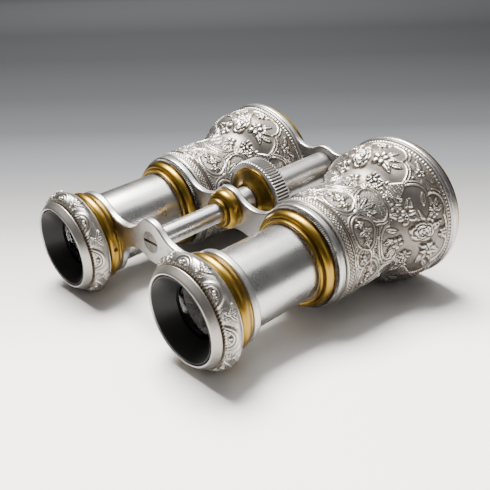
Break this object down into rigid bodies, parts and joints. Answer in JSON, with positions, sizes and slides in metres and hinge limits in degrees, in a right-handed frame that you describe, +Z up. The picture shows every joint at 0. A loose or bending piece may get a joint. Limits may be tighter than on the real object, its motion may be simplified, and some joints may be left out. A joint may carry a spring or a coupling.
{
  "type": "opera glasses",
  "caption": "Opera glasses: embossed flared barrels on waisted bridges, with brass rings, black eyecups and a ribbed centre wheel that slides the eyepieces.",
  "frame": {"origin": "on the surface the object rests on, below the middle of its bounding box", "axes": "+Z up, +X across the two barrels, +Y from the eyepieces towards the objectives; the optical axes lie in planes of constant X and rise 4.26 degrees towards +Y, as the object rests"},
  "size_m": [0.1054, 0.0924, 0.0453],
  "materials": {
    "embossed_aluminium": "embossed, polished high spots over darkened ground",
    "polished_aluminium": "polished, lightly worn",
    "bright_tube": "satin, lightly pitted",
    "gilt_brass": "polished and lacquered, tarnished in the grooves",
    "plain_brass": "turned",
    "dark_steel": "dull, slightly oxidised",
    "dark_knurl": "knurled, darkened",
    "black_ebonite": "polished",
    "black_lacquer": "matt anti-glare black",
    "felt": "thin felt",
    "lens_glass": "polished optical glass"
  },
  "bodies": {
    "frame": {"barrel_liner_L": "black_lacquer", "barrel_liner_R": "black_lacquer", "centre_collar": "gilt_brass", "centre_sleeve": "polished_aluminium", "crown_lens_L": "lens_glass", "crown_lens_R": "lens_glass", "flint_lens_L": "lens_glass", "flint_lens_R": "lens_glass", "front_bridge": "polished_aluminium", "front_bush": "plain_brass", "guide_collar_L": "gilt_brass", "guide_collar_R": "gilt_brass", "guide_lining_L": "felt", "guide_lining_R": "felt", "knurled_ring_L": "dark_knurl", "knurled_ring_R": "dark_knurl", "lens_ring_L": "black_lacquer", "lens_ring_R": "black_lacquer", "mid_bridge": "polished_aluminium", "objective_barrel_L": "embossed_aluminium", "objective_barrel_R": "embossed_aluminium", "objective_cell_L": "gilt_brass", "objective_cell_R": "gilt_brass"},
    "focus_wheel": {"wheel_rim": "polished_aluminium", "wheel_hub": "plain_brass", "wheel_dome": "gilt_brass", "centre_tube": "polished_aluminium", "lead_screw": "dark_steel", "tube_plug": "plain_brass", "pivot_screw": "dark_steel", "pivot_washer": "dark_steel"},
    "eyepiece_carriage": {"draw_stop_ring_L": "plain_brass", "draw_stop_ring_R": "plain_brass", "draw_tube_L": "bright_tube", "draw_tube_R": "bright_tube", "eyecup_L": "black_ebonite", "eyecup_R": "black_ebonite", "eyecup_rim_L": "embossed_aluminium", "eyecup_rim_R": "embossed_aluminium", "eyepiece_ring_L": "gilt_brass", "eyepiece_ring_R": "gilt_brass", "grub_screw_L": "dark_steel", "grub_screw_R": "dark_steel", "ocular_cell_L": "plain_brass", "ocular_cell_R": "plain_brass", "ocular_lens_L": "lens_glass", "ocular_lens_R": "lens_glass", "ocular_retainer_L": "black_lacquer", "ocular_retainer_R": "black_lacquer", "eyepiece_bridge": "polished_aluminium", "slider_tube": "bright_tube", "drive_nut": "plain_brass", "slider_plug": "plain_brass", "bridge_screw": "dark_steel"}
  },
  "joints": [
    {"name": "focus_wheel_spin", "type": "hinge", "parent": "frame", "child": "focus_wheel", "pos_m": [0, 0.01062, 0.02705], "axis": [0, 0.9972, 0.0743], "range_deg": [-900, 135]},
    {"name": "focus_slide", "type": "slide", "parent": "frame", "child": "eyepiece_carriage", "axis": [0, -0.9972, -0.0743], "range_m": [-0.02, 0.003]}
  ],
  "couplings": [
    {"joint": "focus_wheel_spin", "follows": "focus_slide", "rad_per_m": 785.39}
  ]
}
